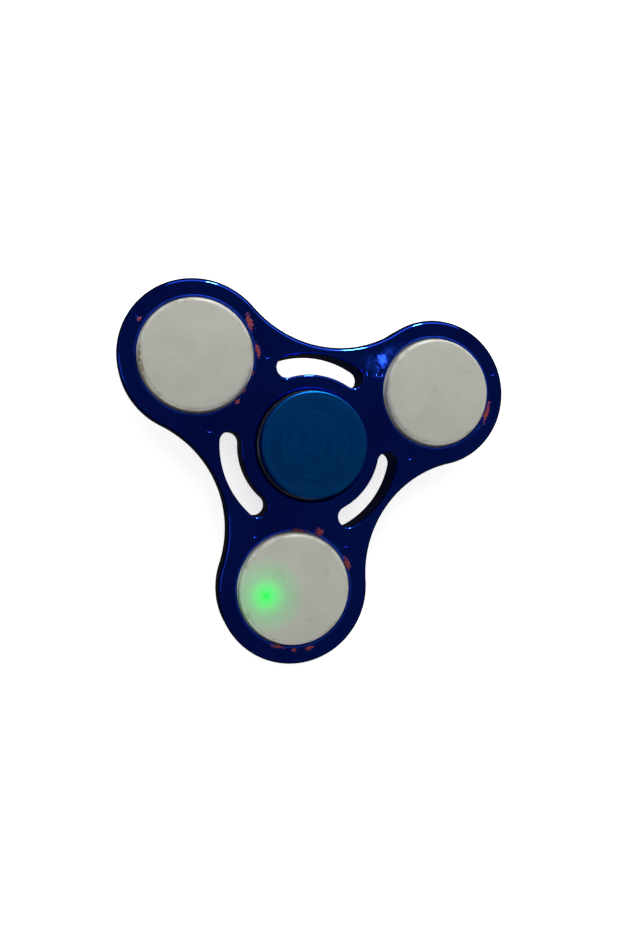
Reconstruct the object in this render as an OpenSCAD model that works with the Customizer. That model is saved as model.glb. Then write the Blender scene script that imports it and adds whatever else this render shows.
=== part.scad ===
// Light-up hand spinner: a three-armed plated frame that turns on a 608 ball bearing between two
// finger caps, with a press-on light in each arm. Millimetres, +Z is the front, the spin axis is Z,
// and Z = 0 is the outer face of the rear finger cap, on which the spinner rests.

/* [Frame] */
// Distance from the spin axis to the axis of each light
light_pitch_r = 28.5; // [28:0.1:30]
// Radius of the round end of each arm
lobe_r = 15; // [14.2:0.1:15.4]
// Distance from the spin axis to the outline midway between two arms
waist_r = 20; // [19.6:0.1:21]
// Thickness of the frame, which is also the bearing's width
frame_t = 7; // [7:0.1:7.5]
// Rounding of the frame's outer edges
edge_round = 1.2; // [0.4:0.1:1.6]
// Rounding of the rims of the holes and slots
rim_round = 0.6; // [0.3:0.05:0.6]

/* [Slots and mould marks] */
// Radius of the middle line of each curved slot
slot_mid_r = 16.15; // [16:0.05:16.3]
// Width of each slot
slot_w = 4.1; // [3:0.1:4.2]
// Half the angle between the centres of a slot's round ends
slot_half_angle = 25; // [18:1:26]
// Radius of the round marks that the mould's ejector pins left
mark_r = 1.3; // [0.8:0.1:1.4]
// Depth of those marks
mark_depth = 0.3; // [0.1:0.05:0.5]

/* [Finger caps] */
// Radius of each finger cap
finger_cap_r = 10.5; // [9.5:0.1:10.8]
// How far each finger cap stands out from the frame
finger_cap_rise = 3.4; // [2.4:0.1:4]

/* [Lights] */
// Radius of the white cap that shows in the front of the frame
light_cap_r = 10.9; // [10.8:0.05:11.05]
// How far the edge of that cap stands out from the frame
light_cap_rise = 1.2; // [1.1:0.1:1.6]
// How far the cap goes in when it is pressed
press_travel = 0.3; // [0.2:0.05:0.35]
// Distance from the light's axis to each light-emitting diode
led_pitch_r = 5.9; // [5:0.1:6.4]
// Turn of the parts inside each light about its own axis
light_turn = -73; // [-180:1:180]

/* [Hidden] */
$fn = 96;
LIGHTS = [1, 2, 3];
LED_COLOURS = ["red", "green", "blue"];

// Arms: the first points to -Y
function arm_angle(n) = -90 + 120 * (n - 1);

// Heights in the whole part
frame_z0 = finger_cap_rise;
frame_z1 = frame_z0 + frame_t;
mid_z = frame_z0 + frame_t / 2;
total_h = frame_t + 2 * finger_cap_rise;
cut = 1; // how far cutters run past a face
rim_steps = 2; // flats that make each rounded rim of the frame

// Flats round the frame's outline and its slots. The odd counts keep the corners of one off the
// planes of the other.
lobe_steps = 33;
hollow_steps = 9;
slot_steps = 15;
slot_end_steps = 9;

// 608 ball bearing: 8 mm bore, 22 mm outside, 7 mm wide, seven balls of 5/32 inch
bearing_bore_r = 4;
bearing_r = 11;
ball_r = 3.969 / 2;
ball_count = 7;
ball_pitch_r = 7.5;
groove_r = 1.04 * ball_r;
inner_shoulder_r = 6.05;
outer_shoulder_r = 8.95;
shield_r = 9.5;
shield_t = 0.3;
shield_inset = 0.25;
ring_chamfer = 0.3;
cage_r0 = 6.6;
cage_r1 = 8.4;
cage_low = 1.1;
cage_high = 2.6;
pocket_r = ball_r + 0.11;

// Finger caps
cap_gap = 0.5;
boss_r = 5.6;
stud_r = 2.4;
cap_edge = 0.4;
sleeve_end = 0.4;
stud_end = 1.2;

// Lights: heights, and radii about the light's own axis
hole_r = 11.25;
lip_t = 1;
lip_r = 10.5;
housing_z0 = frame_z0 - 0.8;
housing_z1 = frame_z1 - 0.8;
cover_z0 = housing_z0 - 0.1;
cover_t = 0.8;
cover_r = 9.9;
plate_t = 0.2;
cell_z0 = cover_z0 + cover_t + plate_t;
cell_t = 3.6;
cell_r = 3.95;
cell_lid_r = 3.1;
cell_lid_t = 0.4;
cell_pitch_r = 5;
well_r = cell_r + 0.1;
contact_t = 0.3;
board_z0 = cell_z0 + cell_t + contact_t;
board_t = 0.8;
board_z1 = board_z0 + board_t;
board_r = 9.8;
chamber_r = 10.3;
ledge_r = 9.95;
ledge_t = 0.4;
led_size = [3.5, 2.8, 1.3];
led_lens_r = 1.2;
led_lens_h = 0.5;
switch_w = 4.4;
switch_h = 1.5;
plunger_z1 = board_z1 + 2;
skirt_r0 = 9;
skirt_r1 = 9.85;
barb_r = 10.15;
barb_h = 0.4;
barb_angle = 24;
dome_rise = 0.35;
cap_plate_z = plunger_z1 + 0.55;
cap_flange_z = housing_z1 + press_travel + 0.1;
cap_top_z = frame_z1 + light_cap_rise;
cap_round = 0.9;
return_angle = 60;
return_r = 8.6;

LED_NODES = [for (n = LIGHTS) for (c = LED_COLOURS) str(c, "_led_", n)];
LIGHT_PARTS = [
    "light_cap", "light_housing", "circuit_board", "control_chip", "button_switch", "switch_plunger",
    "cell_contacts", "button_cells", "cell_link_plate", "cell_return_clip", "battery_cover"
];

// ---------------------------------------------------------------- shared shapes

// Points of a rounded rim between a wall at radius r and a face at height z, from the wall to the
// face. side is 1 where the wall is below the face and -1 where it is above.
function rim(r, z, f, side) = [
    for (i = [0:rim_steps])
        let (a = 90 * i / rim_steps)
            [r + f * (1 - cos(a)), z - side * f * (1 - sin(a))]
];

// The same, carried on a little past the face
function open_rim(r, z, f, side) =
    let (p = rim(r, z, f, side), last = p[rim_steps], before = p[rim_steps - 1])
        concat(p, [last + (last - before) / 2]);

function reversed(list) = [for (i = [len(list) - 1:-1:0]) list[i]];

// Outline of a round hole's cutter, for rotate_extrude: radius r between faces at z0 and z1, with
// both rims rounded by f
module hole_profile(r, z0, z1, f) {
    low = reversed(open_rim(r, z0, f, -1));
    high = open_rim(r, z1, f, 1);
    polygon(concat(
        [[0, z0 - cut], [low[0][0], z0 - cut]], low, high, [[high[rim_steps + 1][0], z1 + cut], [0, z1 + cut]]
    ));
}

// Outline of a disc with its outer edges rounded by f, for rotate_extrude
module disc_profile(r, z0, z1, f) {
    translate([0, z0])
        square([r - f, z1 - z0]);
    translate([0, z0 + f])
        square([r, z1 - z0 - 2 * f]);
    for (z = [z0 + f, z1 - f])
        translate([r - f, z])
            circle(r = f);
}

module tube(r0, r1, z0, z1) {
    translate([0, 0, z0])
        difference() {
            cylinder(r = r1, h = z1 - z0);
            translate([0, 0, -cut])
                cylinder(r = r0, h = z1 - z0 + 2 * cut);
        }
}

module disc(r, z0, z1) {
    translate([0, 0, z0])
        cylinder(r = r, h = z1 - z0);
}

// Moves its children from a light's own axis to arm n
module at_light(n) {
    rotate([0, 0, arm_angle(n)])
        translate([light_pitch_r, 0, 0])
            children();
}

// Three copies about the present axis, the first turned by angle
module three(angle = 0) {
    for (k = [0:2])
        rotate([0, 0, angle + 120 * k])
            children();
}

// ---------------------------------------------------------------- frame

// The outline is a round lobe at each light, joined by hollow arcs that touch two lobes each.
// half and reach place a light's axis about a line midway between two arms.
half = light_pitch_r * sin(60);
reach = light_pitch_r * cos(60);
// Distance from the spin axis to the centre of a hollow arc
lobe_past_waist = lobe_r - waist_r;
arc_centre_r = (half * half + reach * reach - lobe_past_waist * lobe_past_waist)
    / (2 * (reach + lobe_past_waist));
arc_r = arc_centre_r - waist_r;
// Angle about a light's axis, from straight out to where its lobe meets a hollow arc
lobe_angle = atan2(arc_centre_r * sin(60), arc_centre_r * cos(60) - light_pitch_r);
// Angle about a hollow arc's centre, from straight in to where the arc meets a lobe
hollow_angle = lobe_angle - 60;

function polar(r, a) = [r * cos(a), r * sin(a)];

// Points round the outline, moved in by inset, at height z
function outline(inset, z) = [
    for (n = LIGHTS)
        let (a = arm_angle(n), lobe = polar(light_pitch_r, a), hollow = polar(arc_centre_r, a + 60))
            each concat(
                [
                    for (i = [0:lobe_steps])
                        let (p = polar(lobe_r - inset, a + lobe_angle * (2 * i / lobe_steps - 1)))
                            [lobe[0] + p[0], lobe[1] + p[1], z]
                ],
                [
                    for (i = [1:hollow_steps - 1])
                        let (p = polar(arc_r + inset, a + 240 - hollow_angle * (2 * i / hollow_steps - 1)))
                            [hollow[0] + p[0], hollow[1] + p[1], z]
                ]
            )
];

// Closed solid through rings of points, one above the other. Its two ends are flat, and the whole
// edge of each can be seen from the spin axis.
module stack(rings) {
    count = len(rings[0]);
    last = (len(rings) - 1) * count;
    centre = len(rings) * count;
    sides = [
        for (k = [0:len(rings) - 2])
            for (i = [0:count - 1])
                let (j = (i + 1) % count)
                    [k * count + i, (k + 1) * count + i, (k + 1) * count + j, k * count + j]
    ];
    ends = [
        for (i = [0:count - 1])
            let (j = (i + 1) % count)
                each [[centre, i, j], [centre + 1, last + j, last + i]]
    ];
    heights = [rings[0][0][2], rings[len(rings) - 1][0][2]];
    polyhedron(
        concat([for (ring = rings) each ring], [for (z = heights) [0, 0, z]]),
        concat(sides, ends)
    );
}

// The blank is a stack of outlines, moved in towards each face to round the outer edges
module frame_blank() {
    levels = concat(
        reversed(rim(0, frame_z0, edge_round, -1)),
        rim(0, frame_z1, edge_round, 1)
    );
    stack([for (l = levels) outline(l[0], l[1])]);
}

// Round end of a slot at angle a, whose points start at angle start from straight out
function slot_end(a, start) =
    let (c = polar(slot_mid_r, a))
        [for (i = [1:slot_end_steps - 1]) c + polar(slot_w / 2, a + start + 180 * i / slot_end_steps)];

// Curved side of a slot at radius r, run through from angle -a to a
function slot_side(r, a) = [for (i = [0:slot_steps]) polar(r, a * (2 * i / slot_steps - 1))];

module slot_cutter() {
    translate([0, 0, frame_z0 - cut])
        linear_extrude(frame_t + 2 * cut)
            polygon(concat(
                slot_side(slot_mid_r + slot_w / 2, slot_half_angle),
                slot_end(slot_half_angle, 0),
                slot_side(slot_mid_r - slot_w / 2, -slot_half_angle),
                slot_end(-slot_half_angle, 180)
            ));
}

// Each light drops in from the front and stops on a lip at the rear
module light_hole_cutter() {
    disc(lip_r, frame_z0 - cut, frame_z1);
    disc(hole_r, frame_z0 + lip_t, frame_z1 + cut);
    translate([0, 0, frame_z1 - rim_round])
        cylinder(r1 = hole_r, r2 = hole_r + 2 * rim_round, h = 2 * rim_round);
}

// One mark outside each light, and one in each neck
module ejector_marks() {
    outer_mark_r = light_pitch_r + 13.2;
    neck_mark_r = 20.3;
    neck_mark_angle = 27;
    for (at = [[outer_mark_r, 0], [neck_mark_r, neck_mark_angle], [neck_mark_r, -neck_mark_angle]])
        rotate([0, 0, at[1]])
            translate([at[0], 0, frame_z1 - mark_depth])
                cylinder(r = mark_r, h = mark_depth + cut);
}

module spinner_frame() {
    color([0.01, 0.06, 0.42])
        difference() {
            frame_blank();
            rotate_extrude()
                hole_profile(bearing_r, frame_z0, frame_z1, rim_round);
            three(-30)
                slot_cutter();
            for (n = LIGHTS) {
                at_light(n)
                    light_hole_cutter();
                rotate([0, 0, arm_angle(n)])
                    ejector_marks();
            }
        }
}

// ---------------------------------------------------------------- bearing

module ball_places() {
    for (k = [0:ball_count - 1])
        rotate([0, 0, 360 * k / ball_count])
            translate([ball_pitch_r, 0, mid_z])
                children();
}

module groove() {
    translate([ball_pitch_r, mid_z])
        circle(r = groove_r);
}

module bearing_outer_ring() {
    recess = shield_t + shield_inset;
    c = ring_chamfer;
    color([0.62, 0.62, 0.64])
        rotate_extrude()
            difference() {
                polygon([
                    [outer_shoulder_r, frame_z0 + recess], [shield_r, frame_z0 + recess],
                    [shield_r, frame_z0], [bearing_r - c, frame_z0], [bearing_r, frame_z0 + c],
                    [bearing_r, frame_z1 - c], [bearing_r - c, frame_z1], [shield_r, frame_z1],
                    [shield_r, frame_z1 - recess], [outer_shoulder_r, frame_z1 - recess]
                ]);
                groove();
            }
}

module bearing_inner_ring() {
    c = ring_chamfer;
    color([0.62, 0.62, 0.64])
        rotate_extrude()
            difference() {
                polygon([
                    [bearing_bore_r, frame_z0 + c], [bearing_bore_r + c, frame_z0],
                    [inner_shoulder_r, frame_z0], [inner_shoulder_r, frame_z1],
                    [bearing_bore_r + c, frame_z1], [bearing_bore_r, frame_z1 - c]
                ]);
                groove();
            }
}

module bearing_balls() {
    color([0.75, 0.75, 0.77])
        ball_places()
            sphere(r = ball_r);
}

module bearing_cage() {
    color([0.72, 0.66, 0.5])
        difference() {
            tube(cage_r0, cage_r1, mid_z - cage_low, mid_z + cage_high);
            ball_places()
                sphere(r = pocket_r);
        }
}

module bearing_shield(z) {
    color([0.35, 0.35, 0.37])
        tube(inner_shoulder_r + 0.3, shield_r, z, z + shield_t);
}

// ---------------------------------------------------------------- finger caps

// Disc between heights z0 and z1, with a boss that bears on the inner ring from boss_z0 to boss_z1
module finger_disc(z0, z1, boss_z0, boss_z1) {
    rotate_extrude()
        disc_profile(finger_cap_r, z0, z1, cap_edge);
    disc(boss_r, boss_z0, boss_z1);
}

module front_finger_cap() {
    color([0.0, 0.13, 0.28]) {
        finger_disc(frame_z1 + cap_gap, total_h, frame_z1, frame_z1 + cap_gap);
        disc(stud_r, frame_z0 + stud_end, frame_z1);
    }
}

module rear_finger_cap() {
    color([0.0, 0.13, 0.28])
        difference() {
            union() {
                finger_disc(0, frame_z0 - cap_gap, frame_z0 - cap_gap, frame_z0);
                disc(bearing_bore_r, frame_z0, frame_z1 - sleeve_end);
            }
            disc(stud_r, frame_z0 + stud_end / 2, frame_z1);
        }
}

// ---------------------------------------------------------------- lights

// The pressable white cap: a low dome with a skirt that slides in the housing, three barbs that
// stop it coming out, and a post over the switch
module light_cap() {
    rim_z = cap_top_z - cap_round;
    dome_r = (pow(light_cap_r - cap_round, 2) + pow(dome_rise, 2)) / (2 * dome_rise);
    color([0.86, 0.86, 0.82]) {
        rotate_extrude() {
            difference() {
                union() {
                    translate([0, cap_flange_z])
                        square([light_cap_r, rim_z - cap_flange_z]);
                    translate([0, rim_z])
                        square([light_cap_r - cap_round, cap_round]);
                    translate([light_cap_r - cap_round, rim_z])
                        circle(r = cap_round);
                }
                translate([0, cap_flange_z - cut])
                    square([skirt_r1, cap_plate_z - cap_flange_z + cut]);
                translate([0, cap_flange_z - cut])
                    square([light_cap_r + cut, cut]);
            }
            intersection() {
                translate([0, cap_top_z + dome_rise - dome_r])
                    circle(r = dome_r, $fn = 720);
                translate([0, cap_plate_z])
                    square([light_cap_r - cap_round, cap_round + light_cap_rise]);
            }
        }
        tube(skirt_r0, skirt_r1, board_z1 + press_travel + 0.2, cap_plate_z);
        three(light_turn)
            rotate_extrude(angle = barb_angle)
                translate([(skirt_r0 + skirt_r1) / 2, housing_z1 - ledge_t - 0.05 - barb_h])
                    square([barb_r - (skirt_r0 + skirt_r1) / 2, barb_h]);
        disc(1.2, plunger_z1, cap_plate_z);
    }
}

// Cup that stands on the frame's lip, with three cell wells and a ledge round its mouth
module light_housing() {
    color([0.9, 0.9, 0.88])
        difference() {
            union() {
                disc(hole_r, frame_z0 + lip_t, housing_z1);
                disc(lip_r, housing_z0, frame_z0 + lip_t);
            }
            disc(cover_r, housing_z0 - cut, cell_z0);
            three(light_turn)
                translate([cell_pitch_r, 0, 0])
                    disc(well_r, cell_z0 - cut, board_z0 + cut);
            disc(chamber_r, board_z0, housing_z1 - ledge_t);
            disc(ledge_r, board_z0, housing_z1 + cut);
            return_slot();
        }
}

// Where the return clip's leg passes through the housing and the board
module return_slot() {
    rotate([0, 0, light_turn + return_angle])
        translate([return_r - 0.25, -0.75, cell_z0 - cut])
            cube([0.5, 1.5, board_z1 + cut]);
}

module circuit_board() {
    color([0.85, 0.87, 0.82])
        difference() {
            disc(board_r, board_z0, board_z1);
            return_slot();
        }
}

module led(position) {
    rotate([0, 0, light_turn + 120 * position])
        translate([led_pitch_r, 0, board_z1]) {
            translate([-led_size[0] / 2, -led_size[1] / 2, 0])
                cube(led_size);
            translate([0, 0, led_size[2]])
                cylinder(r = led_lens_r, h = led_lens_h);
        }
}

// Chip under a drop of black resin
module control_chip() {
    drop_r = 2.1;
    drop_h = 0.9;
    ball = (drop_r * drop_r + drop_h * drop_h) / (2 * drop_h);
    color([0.05, 0.05, 0.05])
        rotate([0, 0, light_turn + 180])
            translate([led_pitch_r, 0, board_z1])
                intersection() {
                    translate([0, 0, drop_h - ball])
                        sphere(r = ball);
                    translate([-drop_r, -drop_r, 0])
                        cube([2 * drop_r, 2 * drop_r, drop_h + cut]);
                }
}

module button_switch() {
    color([0.15, 0.15, 0.16])
        difference() {
            translate([-switch_w / 2, -switch_w / 2, board_z1])
                cube([switch_w, switch_w, switch_h]);
            disc(1.25, board_z1 + 0.4, board_z1 + switch_h - 0.25);
            disc(0.9, board_z1 + 1, board_z1 + switch_h + cut);
        }
}

module switch_plunger() {
    color([0.9, 0.9, 0.9]) {
        disc(1.1, board_z1 + 0.8, board_z1 + switch_h - 0.3);
        disc(0.8, board_z1 + switch_h - 0.3, plunger_z1);
    }
}

// Discs on the back of the board that press on the cells
module cell_contacts() {
    color([0.8, 0.68, 0.35])
        three(light_turn)
            translate([cell_pitch_r, 0, 0])
                disc(1.6, cell_z0 + cell_t, board_z0);
}

// Three alkaline cells in series, so the middle one faces the other way
module button_cells() {
    color([0.78, 0.78, 0.78])
        for (k = [0:2])
            rotate([0, 0, light_turn + 120 * k])
                translate([cell_pitch_r, 0, cell_z0 + cell_t / 2])
                    rotate([k == 1 ? 180 : 0, 0, 0])
                        translate([0, 0, -cell_t / 2]) {
                            cylinder(r = cell_r, h = cell_t - cell_lid_t);
                            translate([0, 0, cell_t - cell_lid_t])
                                cylinder(r = cell_lid_r, h = cell_lid_t);
                        }
}

// Strip between the middles of two cells, at angles a and a + 120
module strip(a, r = 1.8) {
    length = cell_pitch_r * sqrt(3);
    for (k = [0, 1])
        rotate([0, 0, a + 120 * k])
            translate([cell_pitch_r, 0, 0])
                disc(r, cell_z0 - plate_t, cell_z0);
    rotate([0, 0, a + 60])
        translate([cell_pitch_r / 2 - r, -length / 2, cell_z0 - plate_t])
            cube([2 * r, length, plate_t]);
}

module cell_link_plate() {
    color([0.75, 0.75, 0.72])
        strip(light_turn + 120);
}

// From the last cell's outer face up through the housing to the board
module cell_return_clip() {
    width = 1.2;
    color([0.75, 0.75, 0.72]) {
        rotate([0, 0, light_turn])
            translate([cell_pitch_r, 0, 0])
                disc(1.8, cell_z0 - plate_t, cell_z0);
        rotate([0, 0, light_turn])
            translate([cell_pitch_r - width / 2, 0, cell_z0 - plate_t])
                cube([width, return_r * sin(return_angle), plate_t]);
        rotate([0, 0, light_turn + return_angle])
            translate([return_r - 0.15, -width / 2, cell_z0 - plate_t])
                cube([0.3, width, board_z1 + 0.3 - cell_z0 + plate_t]);
    }
}

// Snap-in lid with a notch at its edge for a fingernail
module battery_cover() {
    notch_r = 1.5;
    color([0.9, 0.9, 0.88])
        difference() {
            rotate_extrude()
                difference() {
                    translate([0, cover_z0])
                        square([cover_r, cover_t]);
                    translate([cover_r, cover_z0])
                        rotate(45)
                            square(0.3, center = true);
                }
            rotate([0, 0, 180])
                translate([cover_r, 0, cover_z0 - cut])
                    cylinder(r = notch_r, h = cut + 0.5);
        }
}

// ---------------------------------------------------------------- nodes

spinner_frame();
bearing_outer_ring();
bearing_inner_ring();
bearing_balls();
bearing_cage();
bearing_shield(frame_z1 - shield_inset - shield_t);  // front_bearing_shield
bearing_shield(frame_z0 + shield_inset);  // rear_bearing_shield
front_finger_cap();
rear_finger_cap();
for (n = LIGHTS) {
    at_light(n) light_cap();
    at_light(n) light_housing();
    at_light(n) circuit_board();
    at_light(n) control_chip();
    at_light(n) button_switch();
    at_light(n) switch_plunger();
    at_light(n) cell_contacts();
    at_light(n) button_cells();
    at_light(n) cell_link_plate();
    at_light(n) cell_return_clip();
    at_light(n) battery_cover();
    at_light(n) color([0.9, 0.5, 0.45]) led(1);
    at_light(n) color([0.5, 0.95, 0.55]) led(0);
    at_light(n) color([0.5, 0.6, 0.95]) led(2);
}
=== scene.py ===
"""Looks of a light-up hand spinner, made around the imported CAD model. Lengths are in millimetres
and become metres through MM. The spin axis is Z and the front faces +Z."""

import math

import bmesh
import bpy
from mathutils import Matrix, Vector
from mathutils.geometry import delaunay_2d_cdt


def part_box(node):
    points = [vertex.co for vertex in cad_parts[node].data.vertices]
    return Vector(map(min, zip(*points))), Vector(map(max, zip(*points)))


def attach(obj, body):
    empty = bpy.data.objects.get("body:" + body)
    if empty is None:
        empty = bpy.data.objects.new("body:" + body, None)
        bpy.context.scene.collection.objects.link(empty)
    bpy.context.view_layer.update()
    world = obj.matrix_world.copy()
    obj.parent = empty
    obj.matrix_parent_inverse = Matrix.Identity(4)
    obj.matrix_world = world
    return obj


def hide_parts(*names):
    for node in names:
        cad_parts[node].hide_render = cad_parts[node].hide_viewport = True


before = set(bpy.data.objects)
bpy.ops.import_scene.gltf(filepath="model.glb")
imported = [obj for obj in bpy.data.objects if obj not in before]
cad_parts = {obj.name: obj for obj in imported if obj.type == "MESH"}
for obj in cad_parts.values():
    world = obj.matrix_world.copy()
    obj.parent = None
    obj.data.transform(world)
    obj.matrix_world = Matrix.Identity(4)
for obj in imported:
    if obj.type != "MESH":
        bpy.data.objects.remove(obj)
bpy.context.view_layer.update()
scene = bpy.context.scene
scene.view_settings.view_transform = "Standard"
MM = 0.001
LIGHTS = (1, 2, 3)

# ---------------------------------------------------------------- sizes


def box_mm(node):
    low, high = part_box(node)
    return low / MM, high / MM


def arm_angle(n):
    return -90 + 120 * (n - 1)


def polar(r, degrees):
    return Vector((r * math.cos(math.radians(degrees)), r * math.sin(math.radians(degrees))))


frame_low, frame_high = box_mm("spinner_frame")
cap_low, cap_high = box_mm("light_cap_1")
housing_low, housing_high = box_mm("light_housing_1")
ring_low, ring_high = box_mm("bearing_outer_ring")
REAR_Z = frame_low.z
FRONT_Z = frame_high.z
PITCH_R = -(cap_low.y + cap_high.y) / 2
LOBE_R = -frame_low.y - PITCH_R
HOLE_R = (housing_high.x - housing_low.x) / 2
BEARING_R = (ring_high.x - ring_low.x) / 2
# The lip that holds each light at the rear, the waist between the arms, and the rims' rounding
LIP_R = 10.5
LIP_T = 1.0
WAIST_R = 20.0
EDGE_ROUND = 1.2
RIM_ROUND = 0.7
SLOT_ROUND = 0.55
LIP_ROUND = 0.25
# The curved slots and the mould marks
SLOT_MID_R = 16.15
SLOT_W = 4.1
SLOT_HALF_ANGLE = 25
MARK_R = 1.15
MARK_DEPTH = 0.3
MARK_ROUND = 0.2
OUTER_MARK_R = PITCH_R + 13.2
NECK_MARK_R = 20.3
NECK_MARK_ANGLE = 27


def light_axis(n):
    return polar(PITCH_R, arm_angle(n))


# ---------------------------------------------------------------- node helpers


class Nodes:
    """Makes shader nodes and links them in one call."""

    def __init__(self, material):
        self.tree = material.node_tree

    def add(self, kind, inputs=None, **settings):
        node = self.tree.nodes.new(kind)
        for key, value in settings.items():
            setattr(node, key, value)
        for key, value in (inputs or {}).items():
            if isinstance(value, bpy.types.NodeSocket):
                self.tree.links.new(value, node.inputs[key])
            else:
                node.inputs[key].default_value = value
        return node

    def math(self, operation, a, b=0.0, clamp=False):
        return self.add("ShaderNodeMath", {0: a, 1: b}, operation=operation, use_clamp=clamp).outputs[0]

    def vector(self, operation, a, b=(0, 0, 0)):
        return self.add("ShaderNodeVectorMath", {0: a, 1: b}, operation=operation).outputs[0]

    def position(self):
        """Object coordinates in millimetres."""
        coordinates = self.add("ShaderNodeTexCoord").outputs["Object"]
        return self.vector("MULTIPLY", coordinates, (1 / MM, 1 / MM, 1 / MM))

    def noise(self, vector, scale, detail=3.0, roughness=0.5):
        inputs = {"Vector": vector, "Scale": scale, "Detail": detail, "Roughness": roughness}
        return self.add("ShaderNodeTexNoise", inputs).outputs["Fac"]

    def remap(self, value, from_min, from_max, to_min=0.0, to_max=1.0, smooth=False):
        inputs = {
            "Value": value,
            "From Min": from_min, "From Max": from_max,
            "To Min": to_min, "To Max": to_max,
        }
        kind = "SMOOTHSTEP" if smooth else "LINEAR"
        return self.add("ShaderNodeMapRange", inputs, interpolation_type=kind).outputs["Result"]

    def mix(self, factor, a, b):
        node = self.add("ShaderNodeMix", data_type="RGBA")
        for socket, value in ((node.inputs[0], factor), (node.inputs[6], a), (node.inputs[7], b)):
            if isinstance(value, bpy.types.NodeSocket):
                self.tree.links.new(value, socket)
            else:
                socket.default_value = value
        return node.outputs[2]

    def ramp(self, value, stops):
        """Colours by value. stops are (value, (r, g, b)) in rising order."""
        node = self.add("ShaderNodeValToRGB", {"Fac": value})
        elements = node.color_ramp.elements
        elements.remove(elements[1])
        elements[0].position = stops[0][0]
        elements[0].color = (*stops[0][1], 1)
        for place, rgb in stops[1:]:
            elements.new(place).color = (*rgb, 1)
        return node.outputs["Color"]

    def bump(self, height, strength, distance, normal=None):
        inputs = {"Height": height, "Strength": strength, "Distance": distance * MM}
        if normal:
            inputs["Normal"] = normal
        return self.add("ShaderNodeBump", inputs).outputs["Normal"]

    def distance_to(self, position, x, y):
        """Distance across the front from the line that stands at x, y."""
        inputs = {0: self.vector("MULTIPLY", position, (1, 1, 0)), 1: (x, y, 0)}
        return self.add("ShaderNodeVectorMath", inputs, operation="DISTANCE").outputs["Value"]


def material(name):
    made = bpy.data.materials.new(name)
    made.use_nodes = True
    nodes = Nodes(made)
    return made, nodes, made.node_tree.nodes["Principled BSDF"]


def colour(r, g, b):
    return (r, g, b, 1)


def put(nodes, shader, **inputs):
    """Sets or links the shader's inputs. Their names have _ for a space."""
    for key, value in inputs.items():
        socket = shader.inputs[key.replace("_", " ")]
        if isinstance(value, bpy.types.NodeSocket):
            nodes.tree.links.new(value, socket)
        else:
            socket.default_value = value


# ---------------------------------------------------------------- materials

# Places at the rims of the holes where the plating has come off: x, y, angle, length, width
CHIPS = (
    (-15.2, 22.0, -63, 3.6, 1.3),
    (-13.0, 16.9, -70, 2.8, 1.0),
    (-13.4, 12.5, 80, 1.2, 0.8),
    (-14.8, 8.8, 60, 1.2, 0.8),
    (-15.6, 6.5, 40, 1.3, 0.9),
    (-36.1, 19.3, 65, 1.3, 0.6),
    (36.2, 11.7, 79, 4.8, 0.9),
    (14.3, 18.0, 65, 1.7, 0.5),
    (-0.5, -17.1, 0, 3.3, 0.8),
    (3.7, -16.8, 30, 1.9, 1.6),
    (10.1, -22.5, -65, 3.4, 1.0),
    (-2.0, -40.0, -8, 2.6, 0.8),
    (1.5, -40.5, 5, 1.4, 0.8),
    (4.5, -39.8, 22, 1.9, 0.8),
)


def chip_mask(nodes, position):
    """1 where the plating has come off and 0 elsewhere."""
    ragged = nodes.remap(nodes.noise(position, 1.9, 4.0, 0.65), 0.3, 0.7, -0.5, 0.7)
    nearest = None
    for x, y, angle, length, width in CHIPS:
        inputs = {
            "Vector": position,
            "Location": (x, y, FRONT_Z),
            "Rotation": (0, 0, math.radians(angle)),
            "Scale": (length / 2, width / 2, 1.2),
        }
        local = nodes.add("ShaderNodeMapping", inputs, vector_type="TEXTURE").outputs["Vector"]
        distance = nodes.add("ShaderNodeVectorMath", {0: local}, operation="LENGTH").outputs["Value"]
        nearest = distance if nearest is None else nodes.math("MINIMUM", nearest, distance)
    return nodes.remap(nodes.math("ADD", nearest, ragged), 1.0, 0.86)


def plated_plastic():
    """Vacuum-plated plastic under a clear blue lacquer, chipped down to the dull red plastic."""
    made, nodes, shader = material("plated_plastic")
    position = nodes.position()
    chips = chip_mask(nodes, position)
    cloud = nodes.noise(position, 0.05, 2.0)
    blue = nodes.mix(nodes.remap(cloud, 0.35, 0.65), colour(0.012, 0.045, 0.58), colour(0.014, 0.07, 0.70))
    speck = nodes.remap(nodes.noise(position, 3.5, 5.0, 0.7), 0.66, 0.74)
    blue = nodes.mix(nodes.math("MULTIPLY", speck, 0.35), blue, colour(0.03, 0.03, 0.16))
    grain = nodes.noise(position, 1.8, 4.0)
    red = nodes.mix(grain, colour(0.20, 0.022, 0.035), colour(0.36, 0.06, 0.075))
    smear = nodes.remap(nodes.noise(position, 0.22, 4.0, 0.6), 0.4, 0.75, 0.035, 0.12)
    scratch_place = nodes.vector("MULTIPLY", position, (0.35, 3.0, 1.0))
    scratches = nodes.remap(nodes.noise(scratch_place, 1.0, 6.0, 0.75), 0.62, 0.72)
    rough = nodes.math("ADD", smear, nodes.math("MULTIPLY", scratches, 0.05))
    rough = nodes.math("MAXIMUM", rough, nodes.math("MULTIPLY", chips, 0.55))
    orange_peel = nodes.bump(nodes.noise(position, 0.28, 1.0), 0.5, 0.035)
    dents = nodes.bump(nodes.noise(position, 1.1, 2.0), 0.25, 0.008, orange_peel)
    edge = nodes.bump(nodes.math("SUBTRACT", 1.0, chips), 0.8, 0.06, dents)
    put(
        nodes, shader,
        Base_Color=nodes.mix(chips, blue, red),
        Metallic=nodes.math("SUBTRACT", 1.0, chips),
        Roughness=rough,
        Normal=edge,
    )
    return made


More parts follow.
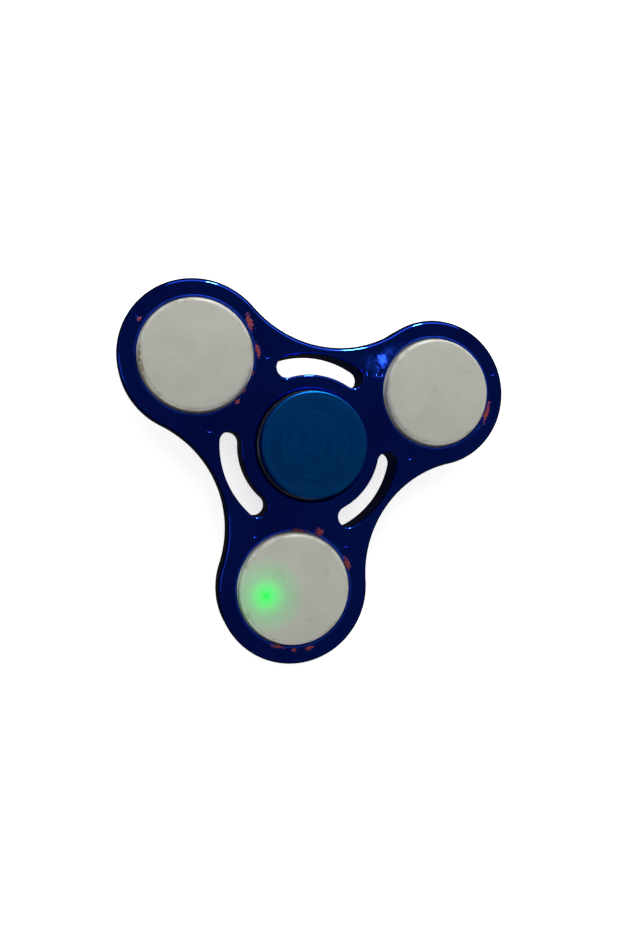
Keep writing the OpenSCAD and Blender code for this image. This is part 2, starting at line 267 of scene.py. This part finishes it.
def turned_metal():
    """Satin anodised metal with the faint rings that turning leaves."""
    made, nodes, shader = material("turned_metal")
    position = nodes.position()
    radius = nodes.distance_to(position, 0, 0)
    wobble = nodes.math("ADD", radius, nodes.math("MULTIPLY", nodes.noise(position, 0.5, 2.0), 0.1))
    rings = nodes.math("SINE", nodes.math("MULTIPLY", wobble, 2 * math.pi / 0.22))
    broad = nodes.noise(nodes.add("ShaderNodeCombineXYZ", {0: radius}).outputs[0], 0.9, 4.0, 0.7)
    cloud = nodes.noise(position, 0.3, 3.0)
    tint = nodes.math("ADD", nodes.math("MULTIPLY", broad, 0.6), nodes.math("MULTIPLY", cloud, 0.4))
    base = nodes.mix(nodes.remap(tint, 0.35, 0.65), colour(0.0, 0.17, 0.68), colour(0.006, 0.23, 0.82))
    rough = nodes.remap(broad, 0.3, 0.7, 0.34, 0.44)
    ring_bump = nodes.bump(rings, 0.22, 0.004)
    put(
        nodes, shader,
        Base_Color=base, Metallic=1.0, Roughness=rough,
        Normal=nodes.bump(nodes.noise(position, 9.0, 2.0), 0.1, 0.003, ring_bump),
    )
    return made


# Painted glow: what the lit green diode's light, painted into the cap's colour, leaves of that colour,
# from over the diode outwards
PAINTED_GLOW_TINTS = (
    (0.0, (0.06, 1, 0.26)),
    (0.2, (0.44, 1, 0.68)),
    (0.4, (0.72, 1, 0.88)),
    (0.9, (0.93, 1, 0.95)),
    (1.0, (1, 1, 1)),
)


def painted_diode_glow(nodes, shader, position, base):
    """Painted glow of the green diode close behind the first cap, put on the cap as emission and as a
    green tint of its colour. Gives the cap's colour as it tints it.
    """
    low, high = box_mm("green_led_1")
    middle = (low + high) / 2
    distance = nodes.distance_to(position, middle.x, middle.y)
    pinhole = nodes.remap(distance, 0.1, 0.6, 0.8, 1.0, smooth=True)
    halo = nodes.math("MULTIPLY", nodes.remap(distance, 8.0, 0.0), 0.28)
    core = nodes.math("MULTIPLY", nodes.remap(distance, 4.5, 0.5, smooth=True), 0.34)
    strength = nodes.math("MULTIPLY", nodes.math("ADD", halo, core), pinhole)
    # The cap's emission is painted glow: the cap is no lamp, and the light belongs to the diode behind it
    put(nodes, shader, Emission_Color=colour(0.0, 1.0, 0.02), Emission_Strength=strength)
    tint = nodes.ramp(nodes.remap(distance, 0.0, 7.5), PAINTED_GLOW_TINTS)
    return nodes.vector("MULTIPLY", base, tint)


def stain_mask(nodes, position, radius, axis):
    """1 on the stain along the outer lower edge of the third cap, and 0 elsewhere."""
    middle = axis + polar(10.6, 198)
    near = nodes.remap(nodes.distance_to(position, middle.x, middle.y), 5.2, 1.5, smooth=True)
    ragged = nodes.remap(nodes.noise(position, 1.6, 5.0, 0.7), 0.36, 0.56)
    band = nodes.remap(radius, 9.9, 10.7, smooth=True)
    return nodes.math("MULTIPLY", nodes.math("MULTIPLY", near, ragged), band)


def light_cap_plastic(n):
    """Milky plastic of a light cap, dirty along its edge. The first carries the painted glow of its lit
    diode and the third is stained.
    """
    made, nodes, shader = material(f"light_cap_plastic_{n}")
    position = nodes.position()
    axis = light_axis(n)
    radius = nodes.distance_to(position, axis.x, axis.y)
    cloud = nodes.noise(position, 0.18, 3.0)
    base = nodes.mix(nodes.remap(cloud, 0.35, 0.65), colour(0.58, 0.585, 0.52), colour(0.62, 0.625, 0.565))
    specks = nodes.remap(nodes.noise(position, 2.6, 4.0, 0.6), 0.70, 0.76)
    base = nodes.mix(nodes.math("MULTIPLY", specks, 0.25), base, colour(0.42, 0.38, 0.30))
    near_edge = nodes.remap(radius, 9.6, 10.9, smooth=True)
    dirt_patch = nodes.remap(nodes.noise(position, 0.45, 5.0, 0.65), 0.5, 0.68)
    dirt = nodes.math("MULTIPLY", nodes.math("MULTIPLY", near_edge, dirt_patch), 0.55)
    if n == 3:
        dirt = nodes.math("MAXIMUM", dirt, stain_mask(nodes, position, radius, axis))
    base = nodes.mix(dirt, base, colour(0.20, 0.14, 0.05))
    # Painted glow on the first cap: emission and a green tint in place of its diode's light shining
    # through
    if n == 1:
        base = painted_diode_glow(nodes, shader, position, base)
    scratch_place = nodes.vector("MULTIPLY", position, (2.4, 0.3, 1.0))
    scratches = nodes.remap(nodes.noise(scratch_place, 1.0, 5.0, 0.7), 0.6, 0.75)
    rough = nodes.remap(nodes.noise(position, 0.3, 3.0), 0.3, 0.7, 0.26, 0.38)
    put(
        nodes, shader,
        Base_Color=base,
        Roughness=nodes.math("ADD", rough, nodes.math("MULTIPLY", scratches, 0.12)),
        Subsurface_Weight=0.25,
        Subsurface_Radius=(1.0, 1.0, 0.9),
        Subsurface_Scale=1.2 * MM,
        Normal=nodes.bump(nodes.noise(position, 0.9, 3.0), 0.2, 0.01),
    )
    return made


def plastic(name, dark, bright, roughness, grain=0.02):
    """Moulded plastic whose colour varies between dark and bright."""
    made, nodes, shader = material(name)
    position = nodes.position()
    cloud = nodes.noise(position, 0.5, 4.0)
    rough = nodes.remap(nodes.noise(position, 1.4, 3.0), 0.3, 0.7, roughness - 0.06, roughness + 0.06)
    put(
        nodes, shader,
        Base_Color=nodes.mix(nodes.remap(cloud, 0.3, 0.7), colour(*dark), colour(*bright)),
        Roughness=rough,
        Normal=nodes.bump(nodes.noise(position, 6.0, 3.0), 0.3, grain),
    )
    return made


def metal(name, dark, bright, roughness, stretch=(1, 1, 1)):
    """Bare metal with fine marks, drawn out by stretch."""
    made, nodes, shader = material(name)
    position = nodes.vector("MULTIPLY", nodes.position(), stretch)
    marks = nodes.noise(position, 2.0, 5.0, 0.65)
    put(
        nodes, shader,
        Base_Color=nodes.mix(nodes.remap(marks, 0.3, 0.7), colour(*dark), colour(*bright)),
        Metallic=1.0,
        Roughness=nodes.remap(marks, 0.3, 0.7, roughness - 0.06, roughness + 0.08),
        Normal=nodes.bump(marks, 0.2, 0.01),
    )
    return made


def diode(name, tint, lit):
    """Clear tinted resin of a light-emitting diode."""
    made, nodes, shader = material(name)
    position = nodes.position()
    cloud = nodes.remap(nodes.noise(position, 1.5, 3.0), 0.3, 0.7)
    pale = [0.6 + 0.4 * c for c in tint]
    put(
        nodes, shader,
        Base_Color=nodes.mix(cloud, colour(*tint), colour(*pale)),
        Roughness=nodes.remap(cloud, 0.0, 1.0, 0.12, 0.22),
        Coat_Weight=0.5,
    )
    if lit:
        strength = nodes.remap(cloud, 0.0, 1.0, 4.0, 6.0)
        put(nodes, shader, Emission_Color=colour(*tint), Emission_Strength=strength)
    return made


def paint(obj, made):
    obj.data.materials.clear()
    obj.data.materials.append(made)


# ---------------------------------------------------------------- the frame's shell


class Shell:
    """A closed mesh built from rings of points, in millimetres."""

    def __init__(self):
        self.points = []
        self.faces = []

    def ring(self, flat_points, z):
        start = len(self.points)
        self.points += [Vector((p.x, p.y, z)) for p in flat_points]
        return list(range(start, len(self.points)))

    def join(self, a, b):
        for i in range(len(a)):
            j = (i + 1) % len(a)
            self.faces.append((a[i], a[j], b[j], b[i]))

    def wall(self, outline, levels):
        """Rings of outline(more) at each (more, z) of levels, joined. Gives the first and the last."""
        rings = [self.ring(outline(more), z) for more, z in levels]
        for a, b in zip(rings, rings[1:]):
            self.join(a, b)
        return rings[0], rings[-1]

    def face(self, loops):
        """Fills between the loops: the first is outermost and the rest are holes in it."""
        index = [i for loop in loops for i in loop]
        flat = [self.points[i].xy for i in index]
        edges = []
        start = 0
        for loop in loops:
            edges += [(start + i, start + (i + 1) % len(loop)) for i in range(len(loop))]
            start += len(loop)
        triangles = delaunay_2d_cdt(flat, edges, [], 0, 1e-7)[2]
        outlines = [[self.points[i].xy for i in loop] for loop in loops]
        for triangle in triangles:
            middle = sum((flat[i] for i in triangle), Vector((0, 0))) / 3
            if sum(inside(middle, outline) for outline in outlines) == 1:
                self.faces.append(tuple(index[i] for i in triangle))

    def object(self, name):
        mesh = bpy.data.meshes.new(name)
        mesh.from_pydata([p * MM for p in self.points], [], self.faces)
        bm = bmesh.new()
        bm.from_mesh(mesh)
        bmesh.ops.recalc_face_normals(bm, faces=bm.faces)
        bm.to_mesh(mesh)
        bm.free()
        made = bpy.data.objects.new(name, mesh)
        scene.collection.objects.link(made)
        return made


def cut_away(name, blank, cutters, sharp_degrees=35):
    """The blank less the cutters, both of which it takes the place of, with smooth shading."""
    boolean = blank.modifiers.new("marks", "BOOLEAN")
    boolean.object = cutters
    boolean.solver = "EXACT"
    mesh = bpy.data.meshes.new_from_object(blank.evaluated_get(bpy.context.evaluated_depsgraph_get()))
    mesh.name = name
    for used in (blank, cutters):
        bpy.data.meshes.remove(used.data)
    bm = bmesh.new()
    bm.from_mesh(mesh)
    for edge in bm.edges:
        edge.smooth = edge.calc_face_angle(0) < math.radians(sharp_degrees)
    for polygon in bm.faces:
        polygon.smooth = True
    bm.to_mesh(mesh)
    bm.free()
    made = bpy.data.objects.new(name, mesh)
    scene.collection.objects.link(made)
    normals = made.modifiers.new("flat_faces_stay_flat", "WEIGHTED_NORMAL")
    normals.keep_sharp = True
    return made


def inside(point, outline):
    """Is the point inside the closed outline? Counts the sides that a line to the right crosses."""
    crossings = 0
    for a, b in zip(outline, outline[1:] + outline[:1]):
        if (a.y > point.y) != (b.y > point.y):
            crossings += point.x < a.x + (point.y - a.y) * (b.x - a.x) / (b.y - a.y)
    return crossings % 2


def quarter(size, z, side, steps=7):
    """(more, z) from a wall to the face at z, along a quarter round. side is 1 at a front face."""
    angles = [math.pi / 2 * i / steps for i in range(steps + 1)]
    return [(size * (1 - math.cos(a)), z - side * size * (1 - math.sin(a))) for a in angles]


def through(size, rear_z=REAR_Z, front_z=FRONT_Z):
    """(more, z) of a wall from the front face to the rear face, with both rims rounded."""
    return quarter(size, front_z, 1)[::-1] + quarter(size, rear_z, -1)


def circle(centre, r, steps):
    return lambda more: [centre + polar(r + more, 360 * i / steps) for i in range(steps)]


def frame_outline():
    """The outline as a function of how far it is moved in."""
    half = PITCH_R * math.sin(math.radians(60))
    reach = PITCH_R * math.cos(math.radians(60))
    past_waist = LOBE_R - WAIST_R
    arc_centre_r = (half ** 2 + reach ** 2 - past_waist ** 2) / (2 * (reach + past_waist))
    arc_r = arc_centre_r - WAIST_R
    to_meeting = polar(arc_centre_r, 60) - Vector((PITCH_R, 0))
    lobe_angle = math.degrees(math.atan2(to_meeting.y, to_meeting.x))
    hollow_angle = lobe_angle - 60
    lobe_steps, hollow_steps = 110, 40

    def outline(more):
        points = []
        for n in LIGHTS:
            a = arm_angle(n)
            for i in range(lobe_steps + 1):
                turn = a + lobe_angle * (2 * i / lobe_steps - 1)
                points.append(light_axis(n) + polar(LOBE_R - more, turn))
            for i in range(1, hollow_steps):
                turn = a + 240 - hollow_angle * (2 * i / hollow_steps - 1)
                points.append(polar(arc_centre_r, a + 60) + polar(arc_r + more, turn))
        return points

    return outline


def slot_outline(middle):
    """A slot's outline as a function of how much it is widened. middle is the angle it lies at."""
    side_steps, end_steps = 36, 18

    def outline(more):
        w = SLOT_W / 2 + more
        points = []
        for side in (1, -1):
            for i in range(side_steps + 1):
                turn = middle + side * SLOT_HALF_ANGLE * (2 * i / side_steps - 1)
                points.append(polar(SLOT_MID_R + side * w, turn))
            end = middle + side * SLOT_HALF_ANGLE
            start = end if side > 0 else end + 180
            for i in range(1, end_steps):
                points.append(polar(SLOT_MID_R, end) + polar(w, start + 180 * i / end_steps))
        return points

    return outline


def mark_places():
    """Centres of the mould marks: one outside each light, and one in each neck."""
    for n in LIGHTS:
        yield polar(OUTER_MARK_R, arm_angle(n))
        for side in (1, -1):
            yield polar(NECK_MARK_R, arm_angle(n) + side * NECK_MARK_ANGLE)


def mark_cutters():
    """What the mould marks take away: a shallow disc each, with a softened rim."""
    shell = Shell()
    # The cutter's sides go on past the face, leaning out
    levels = [(0.3, FRONT_Z + 1), (MARK_ROUND + 0.02, FRONT_Z + 0.02)]
    levels += quarter(MARK_ROUND, FRONT_Z, 1, 4)[::-1] + [(-0.04, FRONT_Z - MARK_DEPTH)]
    for place in mark_places():
        top, floor = shell.wall(circle(place, MARK_R, 48), levels)
        shell.faces += [tuple(top), tuple(floor)]
    return shell.object("mark_cutters")


def build_frame_shell():
    """The frame with truly rounded edges, the stepped seats of the lights and the mould marks."""
    shell = Shell()
    lip_z = REAR_Z + LIP_T
    walls = [shell.wall(frame_outline(), through(EDGE_ROUND))]
    walls.append(shell.wall(circle(Vector((0, 0)), BEARING_R, 160), through(RIM_ROUND)))
    for n in LIGHTS:
        walls.append(shell.wall(slot_outline(arm_angle(n) + 60), through(SLOT_ROUND)))
    step = HOLE_R - LIP_R
    levels = [(more + step, z) for more, z in quarter(RIM_ROUND, FRONT_Z, 1)[::-1]]
    levels += [(step, lip_z), (0, lip_z)] + quarter(LIP_ROUND, REAR_Z, -1)
    for n in LIGHTS:
        walls.append(shell.wall(circle(light_axis(n), LIP_R, 160), levels))
    shell.face([front for front, rear in walls])
    shell.face([rear for front, rear in walls])
    made = cut_away("frame_shell", shell.object("frame_blank"), mark_cutters())
    paint(made, plated_plastic())
    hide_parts("spinner_frame")
    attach(made, "rotor")


# ---------------------------------------------------------------- CAD nodes' materials


def smooth_edges(node, width, degrees=40):
    """A small rounded edge on a CAD node, added by modifiers, which leave its mesh as it is."""
    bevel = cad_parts[node].modifiers.new("soft_edges", "BEVEL")
    bevel.width = width * MM
    bevel.segments = 2
    bevel.limit_method = "ANGLE"
    bevel.angle_limit = math.radians(degrees)


def paint_nodes():
    white = plastic("white_housing", (0.66, 0.66, 0.63), (0.76, 0.76, 0.73), 0.42)
    # Painted shade: the bearing's steel and shields are much darker than bare steel, standing in for the
    # shade in the gap around the finger cap
    steel = metal("ground_steel_with_painted_shade", (0.18, 0.18, 0.19), (0.26, 0.26, 0.27), 0.22, (1, 1, 8))
    shield = metal("pressed_shield_with_painted_shade", (0.08, 0.08, 0.085), (0.14, 0.14, 0.145), 0.34)
    ball = metal("polished_ball", (0.66, 0.66, 0.68), (0.78, 0.78, 0.80), 0.09)
    cell = metal("cell_case", (0.62, 0.62, 0.63), (0.78, 0.78, 0.78), 0.2)
    spring = metal("spring_strip", (0.55, 0.54, 0.52), (0.7, 0.69, 0.66), 0.28, (6, 1, 1))
    contact = metal("contact_brass", (0.62, 0.42, 0.14), (0.80, 0.60, 0.26), 0.26)
    cap_metal = turned_metal()
    nylon = plastic("cage_nylon", (0.52, 0.44, 0.26), (0.64, 0.56, 0.36), 0.45)
    board = plastic("board_laminate", (0.62, 0.66, 0.58), (0.74, 0.77, 0.68), 0.5)
    resin = plastic("chip_resin", (0.008, 0.008, 0.009), (0.02, 0.02, 0.022), 0.2)
    switch = plastic("switch_case", (0.02, 0.02, 0.022), (0.045, 0.045, 0.05), 0.45)
    plunger = plastic("switch_plunger", (0.6, 0.6, 0.57), (0.72, 0.72, 0.69), 0.4)
    by_part = {
        # The bearing rings and shields take the metals darkened as painted shade
        "bearing_outer_ring": steel, "bearing_inner_ring": steel, "bearing_balls": ball,
        "bearing_cage": nylon, "front_bearing_shield": shield, "rear_bearing_shield": shield,
        "front_finger_cap": cap_metal, "rear_finger_cap": cap_metal,
    }
    for n in LIGHTS:
        by_part[f"light_cap_{n}"] = light_cap_plastic(n)
        by_part[f"light_housing_{n}"] = white
        by_part[f"battery_cover_{n}"] = white
        by_part[f"circuit_board_{n}"] = board
        by_part[f"control_chip_{n}"] = resin
        by_part[f"button_switch_{n}"] = switch
        by_part[f"switch_plunger_{n}"] = plunger
        by_part[f"cell_contacts_{n}"] = contact
        by_part[f"button_cells_{n}"] = cell
        by_part[f"cell_link_plate_{n}"] = spring
        by_part[f"cell_return_clip_{n}"] = spring
        by_part[f"red_led_{n}"] = diode(f"red_diode_{n}", (0.85, 0.18, 0.12), False)
        by_part[f"green_led_{n}"] = diode(f"green_diode_{n}", (0.1, 0.9, 0.2), n == 1)
        by_part[f"blue_led_{n}"] = diode(f"blue_diode_{n}", (0.15, 0.3, 0.95), False)
    for node, made in by_part.items():
        paint(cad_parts[node], made)
    for n in LIGHTS:
        smooth_edges(f"battery_cover_{n}", 0.15)


# ---------------------------------------------------------------- floor, lights and camera


def build_floor():
    """A plain pale floor, flat for 0.8 m around the object and curving up beyond."""
    bm = bmesh.new()
    bmesh.ops.create_grid(bm, x_segments=60, y_segments=60, size=1.5)
    flat_r = 0.8
    for vert in bm.verts:
        vert.co.z = 0.9 * max(vert.co.xy.length - flat_r, 0) ** 2
    mesh = bpy.data.meshes.new("floor")
    bm.to_mesh(mesh)
    bm.free()
    floor = bpy.data.objects.new("floor", mesh)
    scene.collection.objects.link(floor)
    made, nodes, shader = material("pale_floor")
    cloud = nodes.noise(nodes.position(), 0.004, 2.0)
    put(
        nodes, shader,
        Base_Color=nodes.mix(cloud, colour(0.93, 0.93, 0.93), colour(0.96, 0.96, 0.96)),
        Roughness=0.9,
        Emission_Color=colour(1, 1, 1),
        Emission_Strength=0.72,
    )
    paint(floor, made)
    # The plating mirrors only the panels and the dark surroundings
    floor.visible_glossy = False


# Grey of the surroundings by height: from straight down, through the horizon at 0.5, to straight up
SURROUNDINGS = (
    (0.0, 0.01),
    (0.47, 0.02),
    (0.52, 0.09),
    (0.75, 0.075),
    (0.93, 0.07),
    (1.0, 0.065),
)


def build_world():
    """Soft studio surroundings."""
    world = bpy.data.worlds.new("studio")
    world.use_nodes = True
    scene.world = world
    nodes = Nodes(world)
    direction = nodes.add("ShaderNodeTexCoord").outputs["Generated"]
    height = nodes.add("ShaderNodeSeparateXYZ", {0: direction}).outputs["Z"]
    stops = [(place, (grey, grey, grey * 1.04)) for place, grey in SURROUNDINGS]
    sky = nodes.ramp(nodes.remap(height, -1.0, 1.0), stops)
    nodes.tree.links.new(sky, nodes.tree.nodes["Background"].inputs["Color"])


def area_light(name, place, aim, size, power, tint=(1, 1, 1), mirrored=True):
    """An area light. One that isn't mirrored lights the object but shows in nothing glossy."""
    light = bpy.data.lights.new(name, "AREA")
    light.shape = "RECTANGLE"
    light.size, light.size_y = (s * MM for s in size)
    light.energy = power
    light.color = tint
    made = bpy.data.objects.new(name, light)
    made.location = Vector(place) * MM
    made.rotation_euler = (Vector(aim) - Vector(place)).to_track_quat("-Z", "Y").to_euler()
    made.visible_glossy = mirrored
    scene.collection.objects.link(made)


def build_lights():
    middle = (0, 0, FRONT_Z)
    area_light("soft_panel", (-40, 330, 520), middle, (520, 320), 0.75, mirrored=False)
    area_light("edge_panel", (40, 520, 230), middle, (560, 240), 0.45)
    area_light("fill_panel", (-60, -420, 200), middle, (300, 200), 0.5, mirrored=False)
    area_light("key_lamp", (30, 470, 215), middle, (60, 50), 1.3)
    area_light("side_panel", (-520, -80, 200), middle, (200, 200), 0.05, (0.9, 0.88, 1.0))
    # Its mirror image is the bright patch on the upper right of the frame
    area_light("spark_panel", (157, 109, 480), (13, 19, FRONT_Z), (15, 12), 0.0018)


def build_camera():
    """A camera close above the front and a little to its left."""
    data = bpy.data.cameras.new("camera")
    data.sensor_fit = "VERTICAL"
    data.sensor_height = 36
    data.lens = 29.5
    data.clip_start = 0.01
    camera = bpy.data.objects.new("camera", data)
    camera.location = Vector((-32.3, -9.1, 147.4 + FRONT_Z)) * MM
    camera.rotation_euler = (math.radians(0.38), math.radians(-12.58), math.radians(7.15))
    scene.collection.objects.link(camera)
    scene.camera = camera


build_camera()
build_floor()
build_world()
build_lights()
build_frame_shell()
paint_nodes()
